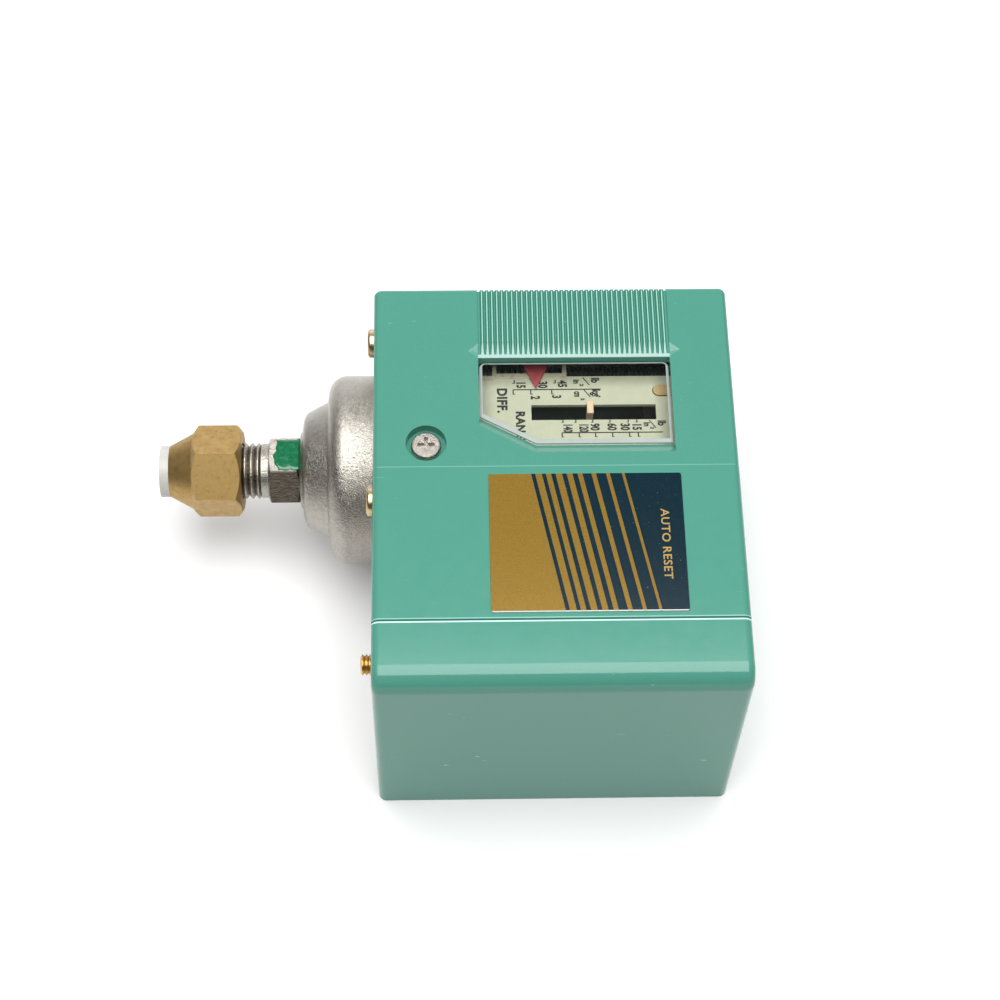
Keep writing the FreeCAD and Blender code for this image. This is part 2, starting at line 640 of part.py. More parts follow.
def calibration_nut():
    x0 = LEVER_X + LEVER_THICK / 2
    nut = hexagon_x(5.5, x0, x0 + 2.4, TAIL_Y, TAIL_Z, 0, 0.25)
    return nut.cut(rod_x(1.5, -FAR, 0, TAIL_Y, TAIL_Z))


def range_spring_seat():
    x = LEVER_X + LEVER_THICK / 2
    return fuse_all([rod_x(6.4, x, x + 1.0, AXIS_Y, AXIS_Z),
                     rod_x(3.2, x + 1.0, x + 2.6, AXIS_Y, AXIS_Z)])


# ---- adjusting screws ---------------------------------------------------------------
def adjusting_screw(y, z, x_end, head_r):
    """Thread, collar, bearing neck and a slotted head inside the wall's hole."""
    face = HX - WALL - 0.2
    thread = threaded_x(SCREW_R, SCREW_PITCH, x_end, face - SHEET - 1.6, y, z)
    neck = rod_x(2.0, face - SHEET - 1.6, face + 0.4, y, z)
    collar = rod_x(head_r, face - SHEET - 1.6, face - SHEET - 0.4, y, z)
    head = rod_x(head_r, face + 0.4, HX - 0.1, y, z)
    head = head.cut(box(HX - 0.9, FAR, y - 5, y + 5, z - 0.5, z + 0.5))
    return fuse_all([thread, neck, collar, head])


def range_screw():
    return adjusting_screw(AXIS_Y, AXIS_Z, -4.2, 3.6)


def diff_screw():
    return adjusting_screw(DIFF_Y, DIFF_Z, -9.0, 2.6)


def range_nut():
    x = POINTER_X
    nut = box(x - 2.7, x + 2.7, AXIS_Y - 6.2, AXIS_Y + 6.2, AXIS_Z - 6.2, AXIS_Z + 6.2)
    arm = box(x - 0.6, x + 0.6, SLOT[2] + 0.4, SLOT[3] - 0.4, AXIS_Z + 6.2, 44.0)
    return fuse_all([nut, arm]).cut(rod_x(SCREW_R + 0.05, -FAR, FAR, AXIS_Y, AXIS_Z))


def range_pointer():
    """Stem through the dial's slot, with a flat head just above the dial."""
    x = POINTER_X
    stem = box(x - 0.6, x + 0.6, SLOT[2] + 1.4, SLOT[3] - 0.4, 44.0, DIAL_TOP_Z + 0.5)
    head = box(x - 0.6, x + 0.6, SLOT[2] + 0.9, SLOT[3] + 0.2, DIAL_TOP_Z + 0.4, DIAL_TOP_Z + 1.1)
    return stem.fuse(head).removeSplitter()


def range_spring():
    x0 = LEVER_X + LEVER_THICK / 2 + 1.05
    return spring_x(5.0, 0.8, x0, POINTER_X - 2.75, 7, AXIS_Y, AXIS_Z)


def diff_nut():
    nut = box(DIFF_X - 2.6, DIFF_X + 2.6, DIFF_Y - 3.4, DIFF_Y + 3.4, DIFF_Z - 3.6, 45.2)
    lip = box(DIFF_X - 1.2, DIFF_X + 1.2, 27.0, 28.8, 45.2, DIAL_TOP_Z + 0.4)
    nut = nut.cut(rod_x(SCREW_R + 0.05, -FAR, FAR, DIFF_Y, DIFF_Z))
    return nut.cut(box(-FAR, FAR, -FAR, 26.3, 45.0, FAR)).fuse(lip).removeSplitter()


def diff_pointer():
    z = DIAL_TOP_Z + 0.4
    tip = [(DIFF_X - 2.2, 28.6, z), (DIFF_X + 2.2, 28.6, z), (DIFF_X + 2.2, 27.4, z),
           (DIFF_X, 22.9, z), (DIFF_X - 2.2, 27.4, z)]
    return prism(tip, (0, 0, 0.5))


def diff_spring():
    return spring_x(3.2, 0.4, -16.6, DIFF_X - 2.65, 6, DIFF_Y, DIFF_Z)


# ---- switch -------------------------------------------------------------------------
def switch_screw_places():
    return [(25.5, -14.2), (7.0, -35.8)]


def switch_base():
    x0, x1, y0, y1, z0, z1 = SWITCH
    px0, px1, py0, py1, pz = POCKET
    base = box(x0, x1, y0, y1, z0, z1)
    shapes = [base]
    for x, y in switch_screw_places():
        shapes.append(rod_z(2.8 if x > 10 else 2.2, x, y, PLATE_Z, z0))
    for y in ((TERMINAL_YS[0] + TERMINAL_YS[1]) / 2, (TERMINAL_YS[1] + TERMINAL_YS[2]) / 2):
        shapes.append(box(20.6, x1, y - 0.5, y + 0.5, z1, z1 + 4.0))
    base = fuse_all(shapes)
    base = base.cut(box(px0, px1, py0, py1, pz, FAR))
    base = base.cut(rod_x(1.55, 0, px0 + 1, TAIL_Y, TAIL_Z))
    for x, y in switch_screw_places():
        base = base.cut(rod_z(1.25, x, y, 0, FAR))
    for y in TERMINAL_YS:
        base = base.cut(rod_z(1.5, TERMINAL_X, y, z1 - 6, z1 + 1))
    return base.cut(rod_z(0.9, BLADE_X, BLADE_Y, pz - 2, pz + 1))


def switch_mount_screws():
    screws = []
    for x, y in switch_screw_places():
        screws.append(pan_head_z(1.8, 1.2, x, y, SWITCH[5], 1.25, PLATE_Z))
    return group(screws)


def terminal(index):
    y = TERMINAL_YS[index]
    z = SWITCH[5]
    plate = box(21.2, 29.3, y - 2.7, y + 2.7, z, z + 0.8)
    return plate.cut(rod_z(1.5, TERMINAL_X, y, 0, FAR))


def terminal_screws():
    z = SWITCH[5] + 0.8
    return group([pan_head_z(2.6, 1.9, TERMINAL_X, y, z + 0.6, 1.5, z - 6)
                  for y in TERMINAL_YS])


def terminal_washers():
    z = SWITCH[5] + 0.8
    washers = []
    for y in TERMINAL_YS:
        washer = box(22.2, 27.8, y - 2.6, y + 2.6, z, z + 0.6)
        washers.append(washer.cut(rod_z(1.5, TERMINAL_X, y, 0, FAR)))
    return group(washers)


def fixed_contact(x_post, x_button):
    """A brass post in the pocket's wall with a silver button."""
    y = CONTACT_Y
    post = box(min(x_post), max(x_post), y - 2.0, y + 2.0, POCKET[4], 23.0)
    return fuse_all([post, rod_x(1.3, min(x_button), max(x_button), y, TAIL_Z)])


def contact_blade():
    x, y = BLADE_X, BLADE_Y
    barrel = rod_z(1.8, x, y, POCKET[4] + 0.4, 22.4)
    blade = box(x - 0.25, x + 0.25, y, -16.2, 15.5, 21.5)
    buttons = rod_x(1.3, x - 1.0, x + 1.0, CONTACT_Y, TAIL_Z)
    arm = fuse_all([barrel, blade, buttons])
    return arm.cut(rod_z(0.96, x, y, 0, 50))


def blade_pin():
    return rod_z(0.9, BLADE_X, BLADE_Y, POCKET[4] - 2, 23.6)


def plunger():
    y, z = TAIL_Y, TAIL_Z
    tip = BLADE_X - 0.25 - LEVER_GAP
    return fuse_all([rod_x(1.5, -4.0, tip, y, z), rod_x(2.9, -4.0, -2.8, y, z)])


def plunger_spring():
    return spring_x(2.1, 0.3, -2.75, SWITCH[0] - 0.05, 6, TAIL_Y, TAIL_Z)


def insulation_sheet():
    return box(30.1, 30.6, -39.5, -10.5, PLATE_Z, 34.0)


NODES = {
    "rear_case": rear_case, "front_cover": front_cover, "window_lens": window_lens,
    "label_plate": label_plate, "cover_screw": cover_screw, "chassis": chassis,
    "end_plate": end_plate, "cover_bracket": cover_bracket, "case_screws": case_screws,
    "case_nut": case_nut, "earth_screw": earth_screw, "earth_washer": earth_washer,
    "cable_grommet": cable_grommet, "dial_bracket": dial_bracket, "dial_plate": dial_plate,
    "dial_rivets": dial_rivets, "dial_lug": dial_lug, "dial_rail": dial_rail,
    "bellows_cup": bellows_cup, "element_dome": element_dome, "braze_ring": braze_ring,
    "flare_fitting": flare_fitting, "flare_nut": flare_nut, "nut_plug": nut_plug,
    "bellows": bellows, "bellows_head": bellows_head, "push_rod": push_rod,
    "rod_guide": rod_guide, "pivot_bracket": pivot_bracket, "pivot_pin": pivot_pin,
    "pivot_clips": pivot_clips, "main_lever": main_lever,
    "calibration_screw": calibration_screw, "calibration_nut": calibration_nut,
    "range_spring_seat": range_spring_seat, "range_screw": range_screw,
    "diff_screw": diff_screw, "range_nut": range_nut, "range_pointer": range_pointer,
    "range_spring": range_spring, "diff_nut": diff_nut, "diff_pointer": diff_pointer,
    "diff_spring": diff_spring, "switch_base": switch_base,
    "switch_mount_screws": switch_mount_screws,
    "terminal_1": lambda: terminal(0), "terminal_2": lambda: terminal(1),
    "terminal_3": lambda: terminal(2), "terminal_screws": terminal_screws,
    "terminal_washers": terminal_washers,
    "rest_contact": lambda: fixed_contact((14.8, 15.6), (13.8, 14.8)),
    "work_contact": lambda: fixed_contact((8.2, 9.0), (9.0, 9.7)),
    "contact_blade": contact_blade, "blade_pin": blade_pin, "plunger": plunger,
    "plunger_spring": plunger_spring, "insulation_sheet": insulation_sheet,
}

os.makedirs("parts", exist_ok=True)
for name, make in NODES.items():
    shape = make()
    if not shape.isValid():
        print("not valid:", name)
    print(name, len(shape.Solids), "solids", round(shape.Volume, 1), "mm3")
    shape.exportStep("parts/" + name + ".step")
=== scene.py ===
import json
import math
import bpy
import bmesh
from mathutils import Matrix, Vector


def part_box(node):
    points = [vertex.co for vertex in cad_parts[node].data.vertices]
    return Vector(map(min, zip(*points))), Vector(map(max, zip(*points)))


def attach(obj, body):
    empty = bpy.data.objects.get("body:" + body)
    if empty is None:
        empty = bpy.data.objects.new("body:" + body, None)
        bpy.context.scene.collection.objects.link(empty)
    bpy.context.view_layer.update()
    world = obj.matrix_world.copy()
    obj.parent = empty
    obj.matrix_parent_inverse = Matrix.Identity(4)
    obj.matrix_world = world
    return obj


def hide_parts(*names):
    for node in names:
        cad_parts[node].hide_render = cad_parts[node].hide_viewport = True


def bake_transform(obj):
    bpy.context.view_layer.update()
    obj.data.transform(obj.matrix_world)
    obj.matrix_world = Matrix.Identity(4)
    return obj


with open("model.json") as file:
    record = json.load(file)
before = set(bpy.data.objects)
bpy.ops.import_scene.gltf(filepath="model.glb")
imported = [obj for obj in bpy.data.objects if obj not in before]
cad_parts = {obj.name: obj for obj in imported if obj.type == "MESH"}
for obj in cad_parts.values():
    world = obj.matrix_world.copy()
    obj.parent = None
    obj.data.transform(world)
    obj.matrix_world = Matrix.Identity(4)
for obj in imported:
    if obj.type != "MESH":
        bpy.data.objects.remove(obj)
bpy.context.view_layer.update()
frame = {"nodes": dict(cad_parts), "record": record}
NODES = frame["nodes"]
SCENE = bpy.context.scene
MM = 0.001                       # every length below is in millimetres times MM


# ---- camera, floor and light --------------------------------------------------------
CAMERA_AT = Vector((-20.90, -208.27, 419.22)) * MM
CAMERA_AZIMUTH = -2.911          # degrees, 0 looks along +Y
CAMERA_ELEVATION = 60.876
CAMERA_ROLL = 2.029
CAMERA_LENS = 82.27


def add_camera():
    """A camera turned from +Y by its azimuth, raised to its elevation, then rolled."""
    a = math.radians(CAMERA_AZIMUTH)
    e = math.radians(CAMERA_ELEVATION)
    r = math.radians(CAMERA_ROLL)
    back = Vector((math.sin(a) * math.cos(e), -math.cos(a) * math.cos(e), math.sin(e)))
    right = Vector((math.cos(a), math.sin(a), 0.0))
    up = back.cross(right)
    turned_right = math.cos(r) * right + math.sin(r) * up
    turned_up = math.cos(r) * up - math.sin(r) * right
    data = bpy.data.cameras.new("camera")
    data.lens = CAMERA_LENS
    data.clip_start = 0.01
    camera = bpy.data.objects.new("camera", data)
    turn = Matrix((turned_right, turned_up, back)).transposed()
    camera.matrix_world = Matrix.Translation(CAMERA_AT) @ turn.to_4x4()
    SCENE.collection.objects.link(camera)
    SCENE.camera = camera


OVERHEAD_AT = Vector((-0.03, -0.105, 1.25))          # metres
OVERHEAD_SIZE = (1.12, 1.23)
OVERHEAD_WATTS = 28.2


def add_softbox():
    """One large rectangle of light straight above, facing down."""
    data = bpy.data.lights.new("overhead", "AREA")
    data.shape = "RECTANGLE"
    data.size, data.size_y = OVERHEAD_SIZE
    data.energy = OVERHEAD_WATTS
    light = bpy.data.objects.new("overhead", data)
    down = Vector((0.0, 0.0, -OVERHEAD_AT.z))
    light.rotation_euler = down.to_track_quat("-Z", "Y").to_euler()
    light.location = OVERHEAD_AT
    SCENE.collection.objects.link(light)


WORLD_FRONT = (0.052, 0.048, 0.044)      # the studio's brightness on the camera's side
WORLD_LEVELS = ((0.50, 0.06), (0.79, 0.15), (0.94, 1.2))  # share of the way back, brightness
WORLD_BACK = 2.1


def add_world():
    """Dim studio: lighter behind the object than on the camera's side."""
    world = bpy.data.worlds.new("studio")
    world.use_nodes = True
    nodes = world.node_tree.nodes
    links = world.node_tree.links
    background = nodes["Background"]
    coords = nodes.new("ShaderNodeTexCoord")
    split = nodes.new("ShaderNodeSeparateXYZ")
    ramp = nodes.new("ShaderNodeValToRGB")
    remap = nodes.new("ShaderNodeMapRange")
    remap.inputs["From Min"].default_value = -1.0
    links.new(coords.outputs["Generated"], split.inputs[0])
    links.new(split.outputs["Y"], remap.inputs["Value"])
    links.new(remap.outputs["Result"], ramp.inputs["Fac"])
    links.new(ramp.outputs["Color"], background.inputs["Color"])
    stops = ramp.color_ramp.elements
    stops[0].color = (*WORLD_FRONT, 1.0)
    stops[1].color = (WORLD_BACK, WORLD_BACK, WORLD_BACK, 1.0)
    for place, level in WORLD_LEVELS:
        stops.new(place).color = (level, level, level, 1.0)
    SCENE.world = world


FLOOR_HALF = 3.0                         # metres
FLOOR_STOPS = ((0.24, 0.76), (0.75, 0.22))           # distance in metres, whiteness of the painted pool of light
# a faint glow of the floor, painted light that lifts its shadows
PAINTED_FLOOR_GLOW = 0.14


def add_floor():
    """A white sweep with a painted pool of light: its colour and faint glow fall off away from the
    object.
    """
    mesh = bpy.data.meshes.new("floor")
    half = FLOOR_HALF
    mesh.from_pydata([(-half, -half, 0), (half, -half, 0), (half, half, 0), (-half, half, 0)],
                     [], [(0, 1, 2, 3)])
    floor = bpy.data.objects.new("floor", mesh)
    SCENE.collection.objects.link(floor)
    material = bpy.data.materials.new("floor_white")
    material.use_nodes = True
    nodes = material.node_tree.nodes
    links = material.node_tree.links
    shader = nodes["Principled BSDF"]
    shader.inputs["Roughness"].default_value = 0.9
    shader.inputs["Specular IOR Level"].default_value = 0.1
    shader.inputs["Emission Strength"].default_value = PAINTED_FLOOR_GLOW
    coords = nodes.new("ShaderNodeTexCoord")
    distance = nodes.new("ShaderNodeVectorMath")
    distance.operation = "LENGTH"
    ramp = nodes.new("ShaderNodeValToRGB")
    links.new(coords.outputs["Object"], distance.inputs[0])
    links.new(distance.outputs["Value"], ramp.inputs["Fac"])
    links.new(ramp.outputs["Color"], shader.inputs["Base Color"])
    links.new(ramp.outputs["Color"], shader.inputs["Emission Color"])
    for stop, (place, level) in zip(ramp.color_ramp.elements, FLOOR_STOPS):
        stop.position = place
        stop.color = (level, level, level, 1.0)
    mesh.materials.append(material)
    floor.location.z = -0.05 * MM


# ---- material building blocks -------------------------------------------------------
class Look:
    """One procedural material, built up a step at a time."""

    def __init__(self, name, colour, roughness, metallic=0.0):
        self.material = bpy.data.materials.new(name)
        self.material.use_nodes = True
        self.nodes = self.material.node_tree.nodes
        self.links = self.material.node_tree.links
        self.shader = self.nodes["Principled BSDF"]
        self.shader.inputs["Base Color"].default_value = (*colour, 1.0)
        self.shader.inputs["Roughness"].default_value = roughness
        self.shader.inputs["Metallic"].default_value = metallic
        self.colour = None
        self.base = colour
        self.bump = None
        self.coords = self.nodes.new("ShaderNodeTexCoord")

    def stretched(self, scale, turn_deg=0.0):
        """Object coordinates in millimetres, stretched by scale and turned about Z."""
        mapping = self.nodes.new("ShaderNodeMapping")
        mapping.inputs["Scale"].default_value = [s / MM for s in scale]
        mapping.inputs["Rotation"].default_value = (0.0, 0.0, math.radians(turn_deg))
        self.links.new(self.coords.outputs["Object"], mapping.inputs["Vector"])
        return mapping.outputs["Vector"]

    def noise(self, per_mm, detail=4.0, stretch=(1.0, 1.0, 1.0), roughness=0.55, turn_deg=0.0):
        node = self.nodes.new("ShaderNodeTexNoise")
        node.inputs["Scale"].default_value = per_mm
        node.inputs["Detail"].default_value = detail
        node.inputs["Roughness"].default_value = roughness
        self.links.new(self.stretched(stretch, turn_deg), node.inputs["Vector"])
        return node.outputs["Fac"]

    def ramp(self, value, low, high, from_value=0.0, to_value=1.0):
        node = self.nodes.new("ShaderNodeMapRange")
        node.inputs["From Min"].default_value = low
        node.inputs["From Max"].default_value = high
        node.inputs["To Min"].default_value = from_value
        node.inputs["To Max"].default_value = to_value
        self.links.new(value, node.inputs["Value"])
        return node.outputs["Result"]

    def math(self, operation, a, b=None):
        node = self.nodes.new("ShaderNodeMath")
        node.operation = operation
        for socket, value in zip(node.inputs, (a, b)):
            if value is None:
                continue
            if isinstance(value, (int, float)):
                socket.default_value = value
            else:
                self.links.new(value, socket)
        return node.outputs[0]

    def tint(self, mask, colour):
        """Blend towards colour where mask is 1."""
        mix = self.nodes.new("ShaderNodeMix")
        mix.data_type = "RGBA"
        self.links.new(mask, mix.inputs["Factor"])
        if self.colour is None:
            mix.inputs["A"].default_value = (*self.base, 1.0)
        else:
            self.links.new(self.colour, mix.inputs["A"])
        mix.inputs["B"].default_value = (*colour, 1.0)
        self.colour = mix.outputs["Result"]
        self.links.new(self.colour, self.shader.inputs["Base Color"])

    def rough(self, value, low, high, from_value, to_value):
        self.links.new(self.ramp(value, low, high, from_value, to_value),
                       self.shader.inputs["Roughness"])

    def relief(self, value, depth_mm, strength=1.0):
        node = self.nodes.new("ShaderNodeBump")
        node.inputs["Strength"].default_value = strength
        node.inputs["Distance"].default_value = depth_mm * MM
        self.links.new(value, node.inputs["Height"])
        if self.bump is not None:
            self.links.new(self.bump, node.inputs["Normal"])
        self.bump = node.outputs["Normal"]
        self.links.new(self.bump, self.shader.inputs["Normal"])

    def position(self):
        """X, Y and Z in millimetres."""
        split = self.nodes.new("ShaderNodeSeparateXYZ")
        self.links.new(self.stretched((1.0, 1.0, 1.0)), split.inputs[0])
        return split.outputs

    def between(self, value, low, high):
        """1 where value lies between low and high."""
        return self.math("MULTIPLY", self.math("GREATER_THAN", value, low),
                         self.math("LESS_THAN", value, high))

    def both(self, *masks):
        result = masks[0]
        for mask in masks[1:]:
            result = self.math("MULTIPLY", result, mask)
        return result


RIB_FIELD = (-14.1, 22.4)                # low x and high x of the ribbed grip
RIB_TIP_Z = 53.94
SLOPE = (29.5, 25.55, 54.0, 53.5)        # where the grip slopes: start y, end y, their z
SLOPE_LOW_Y = 26.0                       # below this the strip is the window's own edge
STEP_Y = (2.02, 2.24)                    # the step edge's painted highlight, low y and high y
STEP_LOW_Z = 53.86
SEAM_LOW_Z = 53.0                        # the seam's painted highlights go only this high and up
GREEN = (0.070, 0.262, 0.197)
SEAM_HIGHLIGHTS = (((-29.12, -28.88), (0.22, 0.50, 0.42)),     # painted highlight on the cover's edge: y range, colour
              ((-29.80, -29.48), (0.50, 0.74, 0.66)))     # painted highlight on the case's edge
SCUFFS = ((28.0, (0.30, 3.4, 1.0)), (-52.0, (0.40, 3.0, 1.0)))      # turn in degrees, stretch


def rib_tip_highlight(look):
    """1 on the narrow tops of the moulded ribs, where a pale painted highlight goes."""
    x, y, z = look.position()
    return look.both(look.math("GREATER_THAN", z, RIB_TIP_Z), look.between(x, *RIB_FIELD),
                     look.math("GREATER_THAN", y, SLOPE[0]))


def slope_highlight(look):
    """1 on the sloping strip between the ribs' ends and the window, where a pale painted highlight
    goes.
    """
    x, y, z = look.position()
    plane = look.ramp(y, SLOPE[1], SLOPE[0], SLOPE[3], SLOPE[2])
    on_plane = look.math("GREATER_THAN", z, look.math("SUBTRACT", plane, 0.04))
    return look.both(on_plane, look.between(x, *RIB_FIELD), look.between(y, SLOPE_LOW_Y, SLOPE[0]))


def step_edge_highlight(look):
    """1 along the edge of the faint step across the front, where a pale painted highlight goes."""
    x, y, z = look.position()
    return look.both(look.between(y, *STEP_Y), look.math("GREATER_THAN", z, STEP_LOW_Z))


def seam_edge_highlight(look, low_y, high_y):
    """1 along one of the rounded edges beside the seam across the front, where a painted highlight
    goes.
    """
    x, y, z = look.position()
    return look.both(look.between(y, low_y, high_y), look.math("GREATER_THAN", z, SEAM_LOW_Z))


def green_plastic(name):
    """Moulded plastic: fine grain, slow tone drift and small scuffs, with painted highlights on the
    rib tips, the slope, the step's edge and the seam's edges.
    """
    look = Look(name, GREEN, 0.12)
    look.tint(look.ramp(look.noise(0.045, 2.0), 0.35, 0.7), (0.073, 0.262, 0.199))
    look.tint(look.ramp(look.noise(5.0, 3.0), 0.42, 0.75), (0.063, 0.238, 0.178))
    specks = look.ramp(look.noise(1.1, 6.0, roughness=0.75), 0.74, 0.78)
    look.tint(specks, (0.040, 0.150, 0.11))
    place = look.ramp(look.noise(0.11, 1.0), 0.58, 0.68)
    for turn_deg, stretch in SCUFFS:
        lines = look.ramp(look.noise(1.0, 2.0, stretch=stretch, turn_deg=turn_deg), 0.72, 0.75)
        look.tint(look.both(place, lines), (0.24, 0.44, 0.37))
    # painted highlight: the rib tips are tinted pale where light catches them
    look.tint(look.math("MULTIPLY", rib_tip_highlight(look), 0.9), (0.37, 0.62, 0.54))
    # painted highlight on the sloping strip beside the window
    look.tint(look.math("MULTIPLY", slope_highlight(look), 0.45), (0.46, 0.60, 0.54))
    # painted highlight along the step's edge
    look.tint(look.math("MULTIPLY", step_edge_highlight(look), 0.6), (0.20, 0.42, 0.35))
    # painted highlights along the rounded edges beside the seam
    for y_range, colour in SEAM_HIGHLIGHTS:
        look.tint(seam_edge_highlight(look, *y_range), colour)
    look.rough(look.noise(0.6, 5.0), 0.3, 0.7, 0.08, 0.14)
    look.relief(look.noise(3.2, 3.0), 0.004)
    look.shader.inputs["Specular IOR Level"].default_value = 0.36
    return look.material


FITTING_AXIS = (18.8, 24.0)              # y and z of the pressure element's axis
HEX_ACROSS = 12.7                        # the fitting's hexagon, across its flats
HEX_SHADE_X = (-55.1, -49.3)
HEX_SHADE_TOP = (15.05, 30.0)              # the hexagon's painted shade stays below this y and this z
THREAD_ROOT_R = 5.1
THREAD_START_X = -56.9


def nickel(name, colour=(0.41, 0.39, 0.345), grain=1.0, fitting=False):
    """Nickel plate over a rough pressing: bright, dimpled, with small dark pits."""
    look = Look(name, colour, 0.2, 1.0)
    coarse = look.noise(1.5 * grain, 6.0, roughness=0.7)
    look.tint(look.ramp(coarse, 0.42, 0.72), tuple(0.80 * c for c in colour))
    pits = look.ramp(look.noise(3.0 * grain, 7.0, roughness=0.8), 0.58, 0.64)
    look.tint(pits, tuple(0.28 * c for c in colour))
    if fitting:
        shade_and_tarnish_fitting(look)
    look.rough(coarse, 0.3, 0.7, 0.11, 0.24)
    look.relief(look.noise(3.3 * grain, 3.0, roughness=0.6), 0.15)
    look.relief(look.noise(5.0 * grain, 2.0), 0.05)
    look.relief(look.noise(0.9 * grain, 2.0), 0.10, 0.5)
    return look.material


def shade_and_tarnish_fitting(look):
    """Painted brown shade on the hexagon's low faces, and brown oxide at the bottom of the thread."""
    x, y, z = look.position()
    # painted shade: the hexagon's two faces towards -Y and below are tinted brown
    low_faces = look.both(look.between(x, *HEX_SHADE_X), look.math("LESS_THAN", y, HEX_SHADE_TOP[0]),
                          look.math("LESS_THAN", z, HEX_SHADE_TOP[1]))
    uneven = look.ramp(look.noise(1.3, 6.0, roughness=0.75), 0.32, 0.62, 0.70, 1.0)
    look.tint(look.both(low_faces, uneven), (0.125, 0.100, 0.075))
    out_y = look.math("POWER", look.math("SUBTRACT", y, FITTING_AXIS[0]), 2.0)
    out_z = look.math("POWER", look.math("SUBTRACT", z, FITTING_AXIS[1]), 2.0)
    radius = look.math("SQRT", look.math("ADD", out_y, out_z))
    root = look.both(look.math("LESS_THAN", x, THREAD_START_X),
                     look.math("LESS_THAN", radius, THREAD_ROOT_R))
    look.tint(look.math("MULTIPLY", root, 0.75), (0.14, 0.095, 0.055))


def brass(name, colour=(0.45, 0.305, 0.118), rough=(0.40, 0.56), tarnish=0.6):
    """Forged brass: soft mottling and brown tarnish."""
    look = Look(name, colour, 0.34, 1.0)
    mottle = look.noise(0.55, 6.0, roughness=0.65)
    look.tint(look.ramp(mottle, 0.40, 0.68), tuple(c * k for c, k in zip(colour, (0.86, 0.82, 0.76))))
    stain = look.ramp(look.noise(0.9, 7.0, roughness=0.75), 0.54, 0.68, 0.0, tarnish)
    look.tint(stain, (0.20, 0.12, 0.045))
    specks = look.ramp(look.noise(2.8, 5.0, roughness=0.8), 0.66, 0.71, 0.0, tarnish)
    look.tint(specks, (0.13, 0.075, 0.03))
    look.rough(mottle, 0.3, 0.7, *rough)
    look.relief(look.noise(6.0, 4.0, roughness=0.7), 0.018, 0.7)
    look.relief(look.noise(1.2, 3.0), 0.03, 0.5)
    return look.material


def brushed(name, colour, rough, coating=None):
    """Sheet steel with fine rolling lines, and a drifting plated tint if asked."""
    look = Look(name, colour, rough, 1.0)
    lines = look.noise(7.0, 3.0, stretch=(0.08, 1.0, 1.0))
    look.tint(look.ramp(lines, 0.35, 0.7), tuple(0.82 * c for c in colour))
    if coating is not None:
        look.tint(look.ramp(look.noise(0.09, 3.0), 0.38, 0.66), coating)
    look.rough(lines, 0.3, 0.7, rough - 0.07, rough + 0.10)
    look.relief(lines, 0.006)
    return look.material


def painted(name, colour, rough, speck, depth_mm=0.010, metallic=0.0):
    """Sprayed paint or dull moulding, with faint orange peel and specks."""
    look = Look(name, colour, rough, metallic)
    look.tint(look.ramp(look.noise(0.5, 4.0), 0.4, 0.7), tuple(0.93 * c for c in colour))
    look.tint(look.ramp(look.noise(2.6, 6.0, roughness=0.75), 0.68, 0.76), speck)
    look.rough(look.noise(0.8, 4.0), 0.3, 0.7, rough - 0.06, rough + 0.08)
    look.relief(look.noise(2.4, 2.0), depth_mm)
    return look.material


def lacquer(name, colour):
    """Glossy brushed lacquer, thicker in places."""
    look = Look(name, colour, 0.18)
    look.tint(look.ramp(look.noise(1.6, 5.0, roughness=0.7), 0.40, 0.68),
              tuple(1.8 * c for c in colour))
    look.shader.inputs["Coat Weight"].default_value = 0.3
    look.shader.inputs["Coat Roughness"].default_value = 0.10
    look.relief(look.noise(1.1, 4.0), 0.06)
    return look.material


def clear_plastic():
    """Thin clear acrylic: see-through with a surface reflection."""
    material = bpy.data.materials.new("clear_acrylic")
    material.use_nodes = True
    nodes = material.node_tree.nodes
    links = material.node_tree.links
    nodes.remove(nodes["Principled BSDF"])
    through = nodes.new("ShaderNodeBsdfTransparent")
    through.inputs["Color"].default_value = (0.95, 0.965, 0.95, 1.0)
    gloss = nodes.new("ShaderNodeBsdfGlossy")
    gloss.inputs["Roughness"].default_value = 0.04
    fresnel = nodes.new("ShaderNodeFresnel")
    fresnel.inputs["IOR"].default_value = 1.49
    mix = nodes.new("ShaderNodeMixShader")
    links.new(fresnel.outputs[0], mix.inputs[0])
    links.new(through.outputs[0], mix.inputs[1])
    links.new(gloss.outputs[0], mix.inputs[2])
    links.new(mix.outputs[0], nodes["Material Output"].inputs["Surface"])
    return material


# ---- label --------------------------------------------------------------------------
# The print is parted by slanted lines.  Distances run along +X from the label's left
# edge, measured at its far side; every line drifts SLANT towards +X down to the near side.
GOLD_FIELD = 7.85
STRIPES = ((8.60, 1.22), (10.55, 0.98), (12.35, 1.20), (14.40, 1.06), (16.42, 0.88),
           (18.96, 0.84), (21.66, 0.68), (24.57, 0.52))       # start, width
SLANT = 5.53


